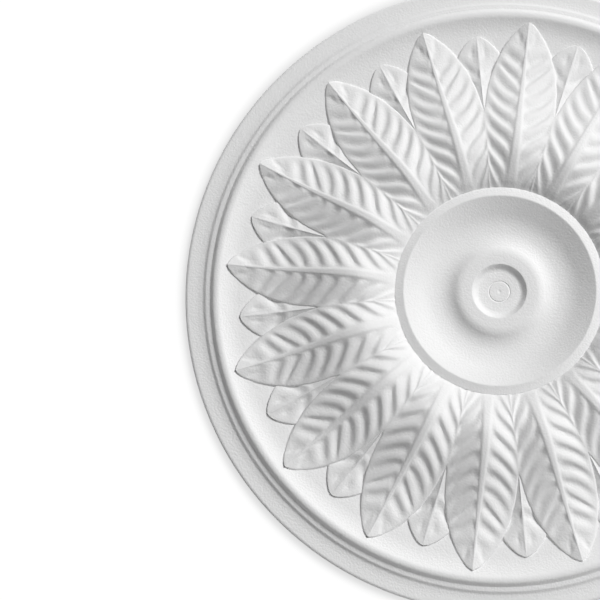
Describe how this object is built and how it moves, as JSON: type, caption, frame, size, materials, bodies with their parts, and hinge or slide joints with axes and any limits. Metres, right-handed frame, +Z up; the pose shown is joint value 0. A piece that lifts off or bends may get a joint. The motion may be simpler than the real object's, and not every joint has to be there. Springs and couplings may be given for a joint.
{
  "type": "ceiling rose",
  "caption": "Round moulded ceiling rose: a wreath of veined leaves between a stepped rim and a dished middle with a recessed boss, flat behind for gluing to a ceiling.",
  "frame": {"origin": "centre of the flat back face, which is glued to the ceiling", "axes": "+Z up into the ceiling, along the rose's axis; the carved face looks down along -Z; +X and +Y each run through the tip of a large leaf"},
  "size_m": [0.5, 0.5, 0.0399],
  "materials": {
    "white_foam": "matt white moulded polystyrene foam with a fine grain"
  },
  "bodies": {
    "root": {"ceiling_rose": "white_foam"}
  },
  "joints": []
}
